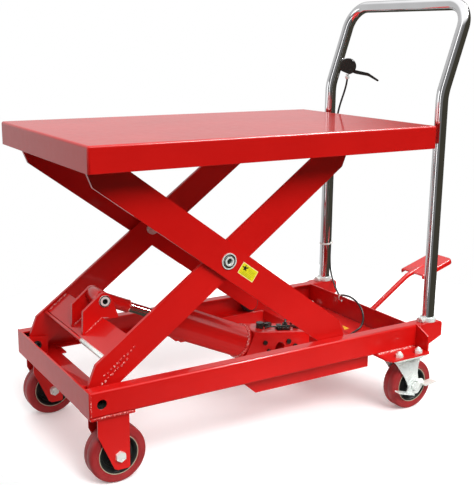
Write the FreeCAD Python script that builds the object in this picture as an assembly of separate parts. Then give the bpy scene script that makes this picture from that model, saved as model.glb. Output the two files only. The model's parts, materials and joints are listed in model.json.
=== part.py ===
import FreeCAD, Part
import math
import os

# Hand-pushed hydraulic scissor lift table, shown half raised.
# Millimetres, +Z up, floor at Z = 0. Stations along X are counted from the table's front end and
# Y = 0 is the middle plane; save() then moves each piece so that the origin is the footprint's middle.

OVERALL_LENGTH = 1111.0
TABLE_LENGTH = 815.0
TABLE_WIDTH = 500.0
TABLE_TOP = 672.0
SKIRT_DEPTH = 50.0
SHEET = 3.0

RAIL_BOTTOM = 150.0
RAIL_TOP = 203.0
RAIL_OUTER = 215.0
RAIL_LIP = 188.0
RAIL_WALL = 3.5
RAIL_FRONT = 6.5
RAIL_REAR = 823.0

INNER_ARM = (168.0, 176.0)
OUTER_ARM = (178.0, 186.0)
ARM_HALF_DEPTH = 32.5
ARM_HALF_SPAN = 378.5
PIVOT_OFFSET = 16.5
PIVOT_X = 29.0
ROLLER_FACES = (190.0, 206.0)
LOWER_ROLLER_R = 22.5
UPPER_ROLLER_R = 18.0
RUNNING_FIT = 0.05
PIVOT_PIN_R = 10.0
AXLE_R = 8.0
AXLE_SEAT = 5.0
THROUGH = 12.0
TIE_PLACE = (-314.0, 26.5)
TIE_R = 3.5
SLEEVE_R = 5.0

WHEEL_R = 60.0
WHEEL_HALF_WIDTH = 19.0
HUB_R = 40.0
AXLE_HEIGHT = 60.0
WHEEL_BOLT_R = 6.0
FRONT_AXLE = (65.0, 187.0)
SWIVEL_AXIS = (770.0, 208.0)
REAR_AXLE_X = 809.0
CASTER_BOLTS = ((741.0, 165.0), (741.0, 251.0), (799.0, 165.0), (799.0, 251.0))
CASTER_BOLT_R = 5.0
MOUNT_PLATE = (146.0, 150.0)

LUG_PIN = (114.0, 320.0)
PUMP_PIVOT = (548.0, 122.0)
CYLINDER_R = 38.0
ROD_R = 11.0

LEG_X = 868.0
LEG_Y = 204.5
LEG_R = 14.0
LEAN_START = 736.0
HANDLE_TOP = (935.0, 935.0)

PEDAL_PIVOT = (672.0, 136.0)
TREADLE = 113.4
LEVER_FOOT = (884.4, 204.5)
LEVER_TURN = -45.0
LEVER_PIVOT = (30.0, 778.0)
LEVER_HALF = 3.0

LOWER_PIVOT_Z = RAIL_BOTTOM + RAIL_WALL + LOWER_ROLLER_R + 0.1
UPPER_PIVOT_Z = TABLE_TOP - SHEET - UPPER_ROLLER_R - 0.1
HALF_RISE = (UPPER_PIVOT_Z - LOWER_PIVOT_Z) / 2
HALF_RUN = math.sqrt(ARM_HALF_SPAN ** 2 - HALF_RISE ** 2)
CENTRE_X = PIVOT_X + HALF_RUN
CENTRE_Z = LOWER_PIVOT_Z + HALF_RISE
ROLLER_X = PIVOT_X + 2 * HALF_RUN
PIVOT_ALONG = math.sqrt(ARM_HALF_SPAN ** 2 - PIVOT_OFFSET ** 2)
ARM_ANGLE = math.degrees(math.atan2(HALF_RISE, HALF_RUN) - math.atan2(PIVOT_OFFSET, PIVOT_ALONG))

CABLE_R = 2.5
HOOP = (812.7, 54.0)
CABLE_POINTS = (
    (903.4, 182.1, 752), (903.4, 182.1, 738), (888, 197.5, 668), (887, 204, 600), (886, 206, 500),
    (886.5, 205, 308), (886.5, 206, 266), (887, 204, 240), (886, 196, 219), (881, 177, 200),
    (871, 152, 188), (856, 121, 183), (840, 92, 186), (827, 74, 198), (812.7, 54, 206.6),
    (807, 33, 212), (802, 4, 215.8), (798, -24, 212), (794, -48, 201), (790, -62, 186),
    (784, -68, 172), (773, -72, 161), (755, -77, 158), (724, -94, 158), (699.3, -107, 158),
    (684.3, -106.7, 158), (671.4, -99.1, 158), (664, -86, 158), (664, -66, 158),
)

V = FreeCAD.Vector
ACROSS = V(0, 1, 0)


# ---- small building functions -------------------------------------------------------------------

def box(x0, x1, y0, y1, z0, z1):
    return Part.makeBox(x1 - x0, y1 - y0, z1 - z0, V(x0, y0, z0))


def bar(start, end, radius):
    start = V(*start)
    step = V(*end) - start
    return Part.makeCylinder(radius, step.Length, start, step)


def across(place, radius, y0, y1):
    """A round bar along Y at (x, z)."""
    return bar((place[0], y0, place[1]), (place[0], y1, place[1]), radius)


def upright(x, y, radius, z0, z1):
    return bar((x, y, z0), (x, y, z1), radius)


def collar(place, outer, inner, y0, y1):
    """A ring about a line along Y."""
    return across(place, outer, y0, y1).cut(across(place, inner, y0 - 1, y1 + 1))


def hexagon(start, end, across_flats):
    """A hexagonal bar between two points that share two coordinates."""
    start = V(*start)
    step = V(*end) - start
    side = V(0, 0, 1) if abs(step.z) < 1e-6 else V(1, 0, 0)
    turn = FreeCAD.Rotation(step, 60)
    corner = side * (across_flats / math.sqrt(3))
    points = []
    for _ in range(6):
        points.append(start + corner)
        corner = turn.multVec(corner)
    return Part.Face(Part.makePolygon(points + points[:1])).extrude(step)


def tangent_arc(before, corner, after, radius):
    """The two ends and the middle of the arc that rounds a corner."""
    back = (before - corner).normalize()
    ahead = (after - corner).normalize()
    half = back.getAngle(ahead) / 2
    reach = radius / math.tan(half)
    inward = (back + ahead).normalize()
    middle = corner + inward * (radius / math.sin(half) - radius)
    return corner + back * reach, middle, corner + ahead * reach


def rounded_wire(points, radii, closed):
    """Straight runs joined by tangent arcs; a radius of 0 leaves a sharp corner."""
    count = len(points)
    edges = []
    cursor = None
    first = None
    for i, corner in enumerate(points):
        ends_here = not closed and i in (0, count - 1)
        if radii[i] > 0 and not ends_here:
            start, middle, end = tangent_arc(points[i - 1], corner, points[(i + 1) % count], radii[i])
        else:
            start, middle, end = corner, None, corner
        if cursor is None:
            first = start
        elif (start - cursor).Length > 1e-6:
            edges.append(Part.LineSegment(cursor, start).toShape())
        if middle is not None:
            edges.append(Part.Arc(start, middle, end).toShape())
        cursor = end
    if closed:
        edges.append(Part.LineSegment(cursor, first).toShape())
    return Part.Wire(edges)


def plate(plane, corners, low, high):
    """A flat plate from an outline of (a, b) or (a, b, corner radius) in plane xz, yz or xy."""
    place = {
        "xz": lambda a, b: V(a, low, b),
        "yz": lambda a, b: V(low, a, b),
        "xy": lambda a, b: V(a, b, low),
    }[plane]
    thickness = {"xz": V(0, high - low, 0), "yz": V(high - low, 0, 0), "xy": V(0, 0, high - low)}[plane]
    points = [place(corner[0], corner[1]) for corner in corners]
    radii = [corner[2] if len(corner) > 2 else 0 for corner in corners]
    return Part.Face(rounded_wire(points, radii, True)).extrude(thickness)


def pipe(points, radii, radius):
    """A round bar along straight runs and tangent arcs."""
    path = rounded_wire(points, radii, False)
    start = points[0]
    circle = Part.makeCircle(radius, start, points[1] - start)
    return path.makePipeShell([Part.Wire([circle])], True, False), path.Length


def fuse(*shapes):
    return shapes[0].fuse(list(shapes[1:])).removeSplitter()


def cut(shape, *tools):
    return shape.cut(list(tools)).removeSplitter()


def mirrored(shape):
    """The same piece on the far side."""
    return shape.mirror(V(0, 0, 0), ACROSS)


def pair(shape):
    """Two pieces, on the near and the far side."""
    return group(shape, mirrored(shape))


def group(*shapes):
    solids = []
    for shape in shapes:
        solids.extend(shape.Solids)
    return Part.makeCompound(solids)


def softened(shape, radius, wanted):
    """The shape with those of its edges rounded that the test picks."""
    return shape.makeFillet(radius, [edge for edge in shape.Edges if wanted(edge)])


def is_rim(edge, radius):
    """Whether an edge is the outer circle of a ring of this radius."""
    return len(edge.Vertexes) == 1 and edge.Length > 2 * math.pi * (radius - 1)


def turned(shape, place, degrees):
    """The shape turned about a line along Y at (x, z); positive lifts what lies towards +X."""
    shape = shape.copy()
    shape.rotate(V(place[0], 0, place[1]), V(0, -1, 0), degrees)
    return shape


def moved(shape, x, y, z):
    shape = shape.copy()
    shape.translate(V(x, y, z))
    return shape


def save(name, shape):
    shape = moved(shape, -OVERALL_LENGTH / 2, 0, 0)
    if not shape.isValid():
        print("not valid:", name)
    shape.exportStep("parts/" + name + ".step")


# ---- base ---------------------------------------------------------------------------------------

def side_rail():
    """C-section rail; its open side faces inward."""
    web = RAIL_OUTER - RAIL_WALL
    low = RAIL_BOTTOM + RAIL_WALL
    high = RAIL_TOP - RAIL_WALL
    section = (
        (RAIL_LIP, RAIL_BOTTOM), (RAIL_OUTER, RAIL_BOTTOM, 5), (RAIL_OUTER, RAIL_TOP, 5),
        (RAIL_LIP, RAIL_TOP), (RAIL_LIP, high), (web, high, 1.5), (web, low, 1.5), (RAIL_LIP, low),
    )
    hole = across((PIVOT_X, LOWER_PIVOT_Z), PIVOT_PIN_R, web - 1, RAIL_OUTER + 1)
    return cut(plate("yz", section, RAIL_FRONT, RAIL_REAR), hole)


def front_channel():
    """Folded cross member: a front web and a wide bottom flange."""
    web_back = RAIL_FRONT
    web = box(web_back - RAIL_WALL, web_back, -RAIL_OUTER, RAIL_OUTER, RAIL_BOTTOM, RAIL_TOP)
    web = softened(web, 3, lambda edge: abs(edge.CenterOfMass.y) > 214 and edge.CenterOfMass.x < 4)
    flange = box(web_back, 80, -RAIL_LIP, RAIL_LIP, RAIL_BOTTOM, RAIL_BOTTOM + RAIL_WALL)
    return fuse(web, flange)


def rear_panel():
    """Folded panel between the rails, cleared for the caster nuts and the cable's band."""
    web = box(811, 814.5, -RAIL_LIP, RAIL_LIP, RAIL_BOTTOM, RAIL_TOP)
    floor = box(703, 811, -RAIL_LIP, RAIL_LIP, RAIL_BOTTOM, RAIL_BOTTOM + RAIL_WALL)
    tools = [box(810, 816, HOOP[1] - 3, HOOP[1] + 3, 188, 193)]
    for x, y in CASTER_BOLTS[::2]:
        for place in (y, -y):
            tools.append(upright(x, place, 11, RAIL_BOTTOM - 1, RAIL_BOTTOM + RAIL_WALL + 1))
    return cut(fuse(web, floor), *tools)


def pump_cradle():
    """Guard plates under the rails, their cross shaft, and a flanged plate with the cable's stop."""
    low = 113
    high = RAIL_BOTTOM + RAIL_WALL
    inner = RAIL_LIP - 4
    side = plate("xz", ((350, 150), (393, low), (703, low), (703, high), (350, high)), inner, RAIL_LIP)
    flange = box(400, 703, 170, inner + 1, low, low + 3)
    side = fuse(side, flange)
    deck = box(655, 703, -inner - 1, inner + 1, RAIL_BOTTOM, high)
    lip = box(655, 658.5, -inner - 1, inner + 1, 128, RAIL_BOTTOM + 1)
    notch = box(654, 660, -16, 16, 120, RAIL_BOTTOM)
    stop = box(658, 670, -66, -60, high - 1, 166)
    shaft = across(PUMP_PIVOT, AXLE_R, -inner - 1, inner + 1)
    return fuse(side, mirrored(side), deck, cut(lip, notch), stop, shaft)


def front_pivot_plates():
    """Upright plates on the front channel's flange, inside the inner arms."""
    low = RAIL_BOTTOM + RAIL_WALL
    outline = ((8, low), (55, low), (55, 194, 3), (8, 199, 3))
    bore = across((PIVOT_X, LOWER_PIVOT_Z), PIVOT_PIN_R, 159, 165)
    return pair(cut(plate("xz", outline, 160, 164), bore))


def base_pivot_pins():
    """Hollow pins between the pivot plates and the rails, each with an inner rim and two spacers."""
    place = (PIVOT_X, LOWER_PIVOT_Z)
    web = RAIL_OUTER - RAIL_WALL
    pin = fuse(across(place, PIVOT_PIN_R, 160, web - 8), across(place, 11, 158, 160))
    pin = cut(pin, across(place, 7, 157, web))
    spacer = collar(place, 14, PIVOT_PIN_R, INNER_ARM[1] + 0.5, web)
    washer = collar(place, 14, PIVOT_PIN_R, 164, INNER_ARM[0] - 0.5)
    return pair(group(pin, spacer, washer))


def front_fork():
    """Rigid welded fork of two cheeks, a crown and a base plate."""
    x, y = FRONT_AXLE
    cheek = ((20, 142), (20, 110), (53, 35, 3), (60, 31, 3), (86, 31, 4), (86, 142))
    low = y - 25
    high = y + 25
    crown = box(20, 86, low, high, 142, MOUNT_PLATE[0])
    base = box(5, 97, 158, 216, MOUNT_PLATE[0], MOUNT_PLATE[1])
    bore = across((x, AXLE_HEIGHT), WHEEL_BOLT_R, low - 1, high + 1)
    cheeks = fuse(plate("xz", cheek, low, low + 3), plate("xz", cheek, high - 3, high))
    return cut(fuse(cheeks, crown, base), bore)


def axle_bolt(x, y, half_grip):
    """Hex bolt with its nut on the inner side."""
    place = (x, AXLE_HEIGHT)
    shank = across(place, WHEEL_BOLT_R, y - half_grip - 10, y + half_grip)
    head = hexagon((x, y + half_grip, AXLE_HEIGHT), (x, y + half_grip + 7, AXLE_HEIGHT), 19)
    nut = hexagon((x, y - half_grip - 8, AXLE_HEIGHT), (x, y - half_grip, AXLE_HEIGHT), 19)
    return fuse(shank, head, nut)


def caster_bolt(x, y):
    """Bolt from below with an acorn nut on top."""
    top = MOUNT_PLATE[1]
    head = hexagon((x, y, 138), (x, y, 142.4), 16)
    shank = upright(x, y, CASTER_BOLT_R, 142, top + 2)
    nut = hexagon((x, y, top), (x, y, top + 7), 16)
    dome = Part.makeSphere(6.5, V(x, y, top + 7))
    return fuse(head, shank, nut, dome)


def wheel_bolts():
    bolts = [axle_bolt(FRONT_AXLE[0], FRONT_AXLE[1], 25)]
    for x, y in CASTER_BOLTS:
        bolts.append(caster_bolt(x, y))
    return pair(group(*bolts))


def caster_plate():
    """Plate under the rail's rear end with the upright gusset that closes the rail."""
    low, high = MOUNT_PLATE
    outline = ((703, 150), (827, 150), (827, 258, 3), (821, 264, 3), (712, 264, 3), (703, 252, 3))
    base = plate("xy", outline, low, high)
    edge = ((187, high - 1), (255, high - 1), (255, 185, 4), (216, RAIL_TOP, 6), (187, RAIL_TOP))
    gusset = plate("yz", edge, RAIL_REAR, 827)
    holes = []
    for x, y in CASTER_BOLTS:
        holes.append(upright(x, y, CASTER_BOLT_R, low - 1, high + 1))
    return cut(fuse(base, gusset), *holes)


def caster_top_plate():
    """Fixed half of the swivel: plate, upper race and kingpin."""
    x, y = SWIVEL_AXIS
    top = MOUNT_PLATE[0]
    outline = ((x - 48, y - 56, 6), (x + 48, y - 56, 6), (x + 48, y + 56, 6), (x - 48, y + 56, 6))
    holes = []
    for bolt_x, bolt_y in CASTER_BOLTS:
        holes.append(upright(bolt_x, bolt_y, CASTER_BOLT_R, 140, top + 1))
    base = cut(plate("xy", outline, 142.4, top), *holes)
    race = cut(upright(x, y, 36, 138.4, 143), upright(x, y, 20, 138, 142.4))
    kingpin = fuse(upright(x, y, AXLE_R, 124, 143), hexagon((x, y, 123), (x, y, 130.5), 22))
    return fuse(base, race, kingpin)


def handle_bracket():
    """Box socket that holds the foot of a handle leg."""
    low = LEG_Y - LEG_R - 3.5
    high = LEG_Y + LEG_R + 3.5
    outline = ((827, RAIL_BOTTOM), (862, 152), (898, 167), (898, RAIL_TOP, 8), (827, RAIL_TOP))
    shell = plate("xz", outline, low, high)
    inner = ((820, 140), (860, 140), (894.5, 165), (894.5, 199.5), (820, 199.5))
    hollow = plate("xz", inner, low + 3.5, high - 3.5)
    leg = upright(LEG_X, LEG_Y, LEG_R, 150, 210)
    return cut(shell, hollow, leg)


def handle_collar():
    """Zinc clamp ring and cross bolt at the foot of a leg."""
    ring = cut(upright(LEG_X, LEG_Y, 18.5, RAIL_TOP, 214), upright(LEG_X, LEG_Y, LEG_R, RAIL_TOP - 1, 215))
    ears = box(LEG_X - 27, LEG_X - 17, LEG_Y - 6, LEG_Y + 6, RAIL_TOP, 214)
    ears = cut(ears, box(LEG_X - 28, LEG_X - 14.5, LEG_Y - 1.2, LEG_Y + 1.2, 200, 220))
    ring = cut(ring, box(LEG_X - 20, LEG_X - 13, LEG_Y - 1.2, LEG_Y + 1.2, 200, 220))
    x = LEG_X - 23
    z = 208.5
    hole = across((x, z), 2.5, LEG_Y - 10, LEG_Y + 10)
    bolt = fuse(
        across((x, z), 2.5, LEG_Y - 6, LEG_Y + 6),
        hexagon((x, LEG_Y + 6, z), (x, LEG_Y + 10, z), 8),
        hexagon((x, LEG_Y - 10, z), (x, LEG_Y - 6, z), 8),
    )
    return group(cut(fuse(ring, ears), hole), bolt)


def handle_tube():
    """One bent tube: two upright legs, leaning ends and a top grip."""
    top_x, top_z = HANDLE_TOP
    foot = 160
    points = [
        V(LEG_X, -LEG_Y, foot), V(LEG_X, -LEG_Y, LEAN_START), V(top_x, -LEG_Y, top_z),
        V(top_x, LEG_Y, top_z), V(LEG_X, LEG_Y, LEAN_START), V(LEG_X, LEG_Y, foot),
    ]
    radii = (0, 110, 55, 55, 110, 0)
    outside, _ = pipe(points, radii, LEG_R)
    inside, _ = pipe(points, radii, LEG_R - 2)
    return outside.cut(inside)


def leaning_leg(radius):
    """The far leg's leaning stretch, as a bar."""
    return bar((LEG_X, LEG_Y, LEAN_START), (HANDLE_TOP[0], LEG_Y, HANDLE_TOP[1]), radius)


def lever_place(shape):
    """From the lever's own frame (outward, across, up) to its place beside the far leg."""
    shape = shape.copy()
    shape.rotate(V(0, 0, 0), V(0, 0, 1), LEVER_TURN)
    return moved(shape, LEVER_FOOT[0], LEVER_FOOT[1], 0)


def lever_housing():
    """Round housing with a slanted foot, on a saddle against the leaning leg, with the lever's pin."""
    u, z = LEVER_PIVOT
    middle = z + 7
    disc = across((u, middle), 21, -9, 9)
    disc = softened(disc, 2, lambda edge: len(edge.Vertexes) == 1)
    foot = plate("xz", ((5, middle - 8), (60, middle - 31), (60, middle - 60), (5, middle - 60)), -12, 12)
    neck = box(4, u, -8, 8, middle - 12, middle + 12)
    slot = box(u - 10, u + 30, -LEVER_HALF - 0.3, LEVER_HALF + 0.3, middle - 40, middle + 11)
    body = fuse(cut(fuse(disc, neck), foot, slot), across(LEVER_PIVOT, 3, -8, 8))
    return cut(lever_place(body), leaning_leg(LEG_R))


def release_lever():
    """Short blade with a thin tip that points away from the far leg."""
    u, z = LEVER_PIVOT
    outline = (
        (u, z + 5), (u + 22, z - 2.5, 20), (u + 54, z - 9, 6), (u + 82, z - 27, 2), (u + 80, z - 31, 2),
        (u + 54, z - 17, 20), (u + 22, z - 12, 20), (u, z - 5),
    )
    boss = across(LEVER_PIVOT, 8, -LEVER_HALF, LEVER_HALF)
    blade = fuse(plate("xz", outline, -LEVER_HALF, LEVER_HALF), boss)
    return lever_place(cut(blade, across(LEVER_PIVOT, 3 + RUNNING_FIT, -LEVER_HALF - 1, LEVER_HALF + 1)))


def cable_adjuster():
    """Threaded barrel and knurled nut where the cable leaves the housing."""
    x, y, z = CABLE_POINTS[0]
    barrel = upright(x, y, 3.8, z, z + 12.5)
    barrel = fuse(barrel, hexagon((x, y, z + 2), (x, y, z + 7), 11))
    return cut(barrel, lever_housing())


def release_cable():
    """Outer casing of the release cable from the lever to the stop beside the pump."""
    points = [V(*point) for point in CABLE_POINTS]
    radii = [0] * len(points)
    for i in range(1, len(points) - 1):
        back = points[i - 1] - points[i]
        ahead = points[i + 1] - points[i]
        half_turn = (math.pi - back.getAngle(ahead)) / 2
        radii[i] = 0.45 * min(back.Length, ahead.Length) / math.tan(half_turn)
    print("cable bend radii:", [round(radius) for radius in radii[1:-1]])
    tube, length = pipe(points, radii, CABLE_R)
    expected = math.pi * CABLE_R ** 2 * length
    print("cable length", round(length), "volume over section x length", round(tube.Volume / expected, 5))
    return tube


def cable_ties():
    """Bands that hold the cable to the far leg and to the rear panel's edge."""
    low = 306
    high = 310
    outline = ((LEG_X, LEG_Y - 5), (892, LEG_Y - 4.5, 3), (892, LEG_Y + 4.5, 3), (LEG_X, LEG_Y + 5))
    tail = plate("xy", outline, low, high)
    band = fuse(upright(LEG_X, LEG_Y, LEG_R + 1.2, low, high), tail)
    leg = upright(LEG_X, LEG_Y, LEG_R, low - 5, high + 5)
    cable = upright(886.5, 205, CABLE_R + 0.4, low - 5, high + 5)
    hoop = collar((HOOP[0], 200.3), 10.6, 9.8, HOOP[1] - 1.5, HOOP[1] + 1.5)
    return group(cut(band, leg, cable), hoop)


def pedal_hinge():
    """Two ears under the cradle's deck and the pedal's pin."""
    x, z = PEDAL_PIVOT
    outline = (
        (x - 12, RAIL_BOTTOM), (x - 12, z - 6, 8), (x - 5, z - 13, 8), (x + 5, z - 13, 8), (x + 12, z - 6, 8),
        (x + 12, RAIL_BOTTOM),
    )
    bore = across(PEDAL_PIVOT, 5, -20, 20)
    ear = cut(plate("xz", outline, 9.5, 13.5), bore)
    return group(pair(ear), across(PEDAL_PIVOT, 5, -15.5, 15.5))


# ---- scissor ------------------------------------------------------------------------------------

def arm_outline():
    """Bar outline about its middle; the pivots sit off its centre line, towards opposite edges."""
    half = ((-336, ARM_HALF_DEPTH, 4), (-374, 9, 4), (-407, -ARM_HALF_DEPTH, 16))
    other = [(-a, -b, radius) for a, b, radius in half]
    return list(half) + other


def inner_arm_shape(shape):
    """From the bar's own frame to the inner arm's place."""
    return turned(moved(shape, CENTRE_X, 0, CENTRE_Z), (CENTRE_X, CENTRE_Z), ARM_ANGLE)


def outer_arm_shape(shape):
    """The outer arm is the inner one mirrored fore and aft."""
    return inner_arm_shape(shape).mirror(V(CENTRE_X, 0, 0), V(1, 0, 0))


def arm(faces, bores):
    """Flat bar with its three bores, each with its radius and its depth from the outer face."""
    low, high = faces
    centres = ((-PIVOT_ALONG, -PIVOT_OFFSET), (0, 0), (PIVOT_ALONG, PIVOT_OFFSET))
    tools = []
    for centre, (radius, depth) in zip(centres, bores):
        tools.append(across(centre, radius, high - depth, high + 1))
    return cut(plate("xz", arm_outline(), low, high), *tools)


def inner_arm():
    bores = ((PIVOT_PIN_R + RUNNING_FIT, THROUGH), (PIVOT_PIN_R, THROUGH), (AXLE_R, AXLE_SEAT))
    return inner_arm_shape(arm(INNER_ARM, bores))


def outer_arm():
    bores = ((AXLE_R, AXLE_SEAT), (PIVOT_PIN_R + RUNNING_FIT, THROUGH), (AXLE_R + RUNNING_FIT, THROUGH))
    return outer_arm_shape(arm(OUTER_ARM, bores))


def arm_cross_plate():
    """Plate between the inner arms that carries the cylinder's lugs."""
    width = INNER_ARM[0]
    outline = ((60.5, 250.375), (108, 286), (111.6, 281.2), (64.1, 245.575))
    return plate("xz", outline, -width, width)


def cylinder_lugs():
    """Two lugs, each with a round head about the clevis pin."""
    outline = ((64, 253), (66, 303, 4), (122.4, 348.6, 17), (146, 278, 3), (108, 286))
    lug = plate("xz", outline, 27, 35)
    return pair(cut(lug, across(LUG_PIN, PIVOT_PIN_R, 20, 40)))


def clevis_pin():
    """Hollow pin through the lugs with a ring at each end."""
    pin = across(LUG_PIN, PIVOT_PIN_R, -39, 39)
    ring = across(LUG_PIN, 12.5, 35, 37.5)
    return cut(fuse(pin, ring, mirrored(ring)), across(LUG_PIN, 6, -40, -28), across(LUG_PIN, 6, 28, 40))


def tie_shaft():
    """Thin tie between the inner arms, along the cross plate's lower edge."""
    half = INNER_ARM[0]
    return inner_arm_shape(across(TIE_PLACE, TIE_R, -half, half))


def tie_sleeve():
    """Zinc plated spacer on the near part of the tie."""
    return inner_arm_shape(collar(TIE_PLACE, SLEEVE_R, TIE_R, -INNER_ARM[0], -50))


def centre_pins():
    """Hollow pins where the arms cross, with an inner head, a dished outer washer and a circlip."""
    place = (CENTRE_X, CENTRE_Z)
    pin = fuse(across(place, PIVOT_PIN_R, 163, 190.5), across(place, 14, 163, INNER_ARM[0]))
    pin = cut(pin, across(place, 6.5, 184, 192))
    washer = collar(place, 17, PIVOT_PIN_R, OUTER_ARM[1] + 0.2, 188.4)
    washer = cut(washer, across(place, 14.5, 187.4, 189))
    circlip = collar(place, 12, PIVOT_PIN_R, 187.4, 189)
    return pair(group(pin, washer, circlip))


def roller_axle(place, arm_face):
    """Axle from its seat in an arm to past its roller, with a shoulder and an end washer."""
    low, high = ROLLER_FACES
    shoulder = across(place, 11, arm_face, low - 0.3)
    axle = fuse(across(place, AXLE_R, arm_face - AXLE_SEAT, high + 2.5), shoulder)
    washer = collar(place, 11, AXLE_R, high + 0.3, high + 2)
    return pair(group(axle, washer))


def outer_cross_plate():
    """Plate that ties the outer arms together under the table's front end."""
    shape = box(318, 363, -OUTER_ARM[0], OUTER_ARM[0], 24, 30)
    return outer_arm_shape(shape)


def roller(place, radius):
    """Nylon roller on its axle."""
    low, high = ROLLER_FACES
    ring = collar(place, radius, AXLE_R + RUNNING_FIT, low, high)
    return softened(ring, 1.2, lambda edge: is_rim(edge, radius))


# ---- table --------------------------------------------------------------------------------------

def table_top():
    """Folded sheet with four skirts."""
    half = TABLE_WIDTH / 2
    low = TABLE_TOP - SKIRT_DEPTH
    outside = box(0, TABLE_LENGTH, -half, half, low, TABLE_TOP)
    outside = softened(outside, 5, lambda edge: edge.CenterOfMass.z > low + 1)
    inside = box(SHEET, TABLE_LENGTH - SHEET, SHEET - half, half - SHEET, low - 1, TABLE_TOP - SHEET)
    inside = softened(inside, 2, lambda edge: edge.CenterOfMass.z > low + 1)
    return outside.cut(inside)


def roller_track():
    """Angle under the sheet that holds the upper rollers up."""
    top = TABLE_TOP - SHEET
    low = UPPER_PIVOT_Z - UPPER_ROLLER_R - 3.3
    section = ((189, low), (213, low, 4), (213, top), (209.5, top), (209.5, low + 3, 1), (189, low + 3))
    return plate("yz", section, 335, 806)


def table_pivot_plates():
    """Ears under the sheet for the outer arms' upper ends."""
    top = TABLE_TOP - SHEET
    outline = ((10, top), (10, 633, 17), (48, 633, 17), (48, top))
    bore = across((PIVOT_X, UPPER_PIVOT_Z), AXLE_R, 187, 194)
    return pair(cut(plate("xz", outline, 188, 193), bore))


def table_pivot_pins():
    place = (PIVOT_X, UPPER_PIVOT_Z)
    pin = fuse(across(place, AXLE_R, OUTER_ARM[0] - 1, 193), across(place, 12, 193, 198))
    return pair(pin)


# ---- cylinder, rod and pump -----------------------------------------------------------------------

def cylinder_axis():
    step = V(PUMP_PIVOT[0] - LUG_PIN[0], 0, PUMP_PIVOT[1] - LUG_PIN[1])
    return step.normalize()


def on_axis(start, end, radius):
    """A round bar along the cylinder's axis, by distance from the lug pin."""
    axis = cylinder_axis()
    origin = V(LUG_PIN[0], 0, LUG_PIN[1])
    return Part.makeCylinder(radius, end - start, origin + axis * start, axis)


def rod_end():
    """Eye on the clevis pin and its shank."""
    shape = fuse(across(LUG_PIN, 17, -25.5, 25.5), on_axis(0, 74, 14))
    return cut(shape, across(LUG_PIN, PIVOT_PIN_R + RUNNING_FIT, -30, 30), on_axis(58, 75, ROD_R))


def piston_rod():
    return fuse(on_axis(58, 270, ROD_R), on_axis(255, 270, 29.9))


def cylinder_tube():
    """Cylinder with its head, bore and lower collar."""
    body = on_axis(169, 384, CYLINDER_R)
    shape = fuse(body, on_axis(166, 169, CYLINDER_R - 2), on_axis(384, 390, CYLINDER_R + 3))
    return cut(shape, on_axis(180, 378, 30), on_axis(160, 185, ROD_R + RUNNING_FIT))


def pump_fitting_shapes():
    """Knob, plugs and unions on the pump block, as (x, y, radius, height, hex across flats)."""
    fittings = []
    for x, y, radius, height, flats in (
        (523, 0, 9, 17, 16), (549, 10, 5, 12, 14), (572, -8, 6, 14, 15),
        (600, 6, 6, 13, 15), (626, -4, 5, 12, 13),
    ):
        foot = block_top(x) - 9
        body = upright(x, y, radius, foot, foot + height + 6)
        fittings.append(fuse(body, hexagon((x, y, foot), (x, y, foot + 14), flats)))
    for x, z, radius, length in ((514, 158, 5.5, 4), (524, 136, 5, 4), (581, 150, 6, 4), (600, 135, 6, 4)):
        fittings.append(across((x, z), radius, -38 - length, -34))
    return fittings


def block_top(x):
    """Height of the pump block's sloping top."""
    return 186 - (x - 495) * 21 / 135


def pump_block():
    """Cast pump body; a cross slot over the pivot shaft lets it rise and dip."""
    outline = (
        (487, 189, 3), (495, 186), (630, 165, 6), (643, 156, 6), (643, 117, 6), (474, 117, 8), (459, 128, 4),
    )
    block = plate("xz", outline, -38, 38)
    axis = cylinder_axis()
    rise = V(-axis.z, 0, axis.x)
    pivot = V(PUMP_PIVOT[0], 0, PUMP_PIVOT[1])
    corners = []
    for along, up, radius in ((-11, -25, 0), (13, -25, 0), (13, 32, 10), (-11, 32, 10)):
        point = pivot + axis * along + rise * up
        corners.append((point.x, point.z, radius))
    slot = plate("xz", corners, -50, 50)
    plunger_bore = bar((615, 0, 138), (650, 0, 138), 8 + RUNNING_FIT)
    tools = [slot, plunger_bore, on_axis(300, 390, CYLINDER_R + 3)] + pump_fitting_shapes()
    return cut(block, *tools)


def pump_plunger():
    return fuse(bar((627, 0, 138), (650, 0, 138), 8), bar((650, 0, 138), (653, 0, 138), 10))


def pedal():
    """Bent foot arm with its eye, and a treadle folded down at its sides."""
    x, z = PEDAL_PIVOT
    points = [V(x + 8, 0, 138), V(818, 0, 138), V(985, 0, 249), V(1040, 0, 267)]
    rod, _ = pipe(points, (0, 60, 60, 0), 6.5)
    eye = across(PEDAL_PIVOT, 11, -8.5, 8.5)
    corners = ((0, -42, 3), (TREADLE, -42, 16), (TREADLE, 42, 16), (0, 42, 3))
    outside = plate("xy", corners, -12, 0)
    outside = softened(outside, 6, lambda edge: edge.CenterOfMass.z > -0.01 and edge.CenterOfMass.x > 1)
    hollow = plate("xy", ((-5, -39), (TREADLE - 3, -39, 13), (TREADLE - 3, 39, 13), (-5, 39)), -14, -3)
    treadle = turned(moved(outside.cut(hollow), 999, 0, 257), (999, 257), 17.0)
    rod = cut(rod, across(PEDAL_PIVOT, 11, -20, 20))
    shape = fuse(rod, eye, treadle)
    return cut(shape, across(PEDAL_PIVOT, 5 + RUNNING_FIT, -20, 20))


# ---- wheels -------------------------------------------------------------------------------------

def tyre(x, y):
    place = (x, AXLE_HEIGHT)
    ring = collar(place, WHEEL_R, HUB_R, y - WHEEL_HALF_WIDTH, y + WHEEL_HALF_WIDTH)
    return softened(ring, 7, lambda edge: is_rim(edge, WHEEL_R))


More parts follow.
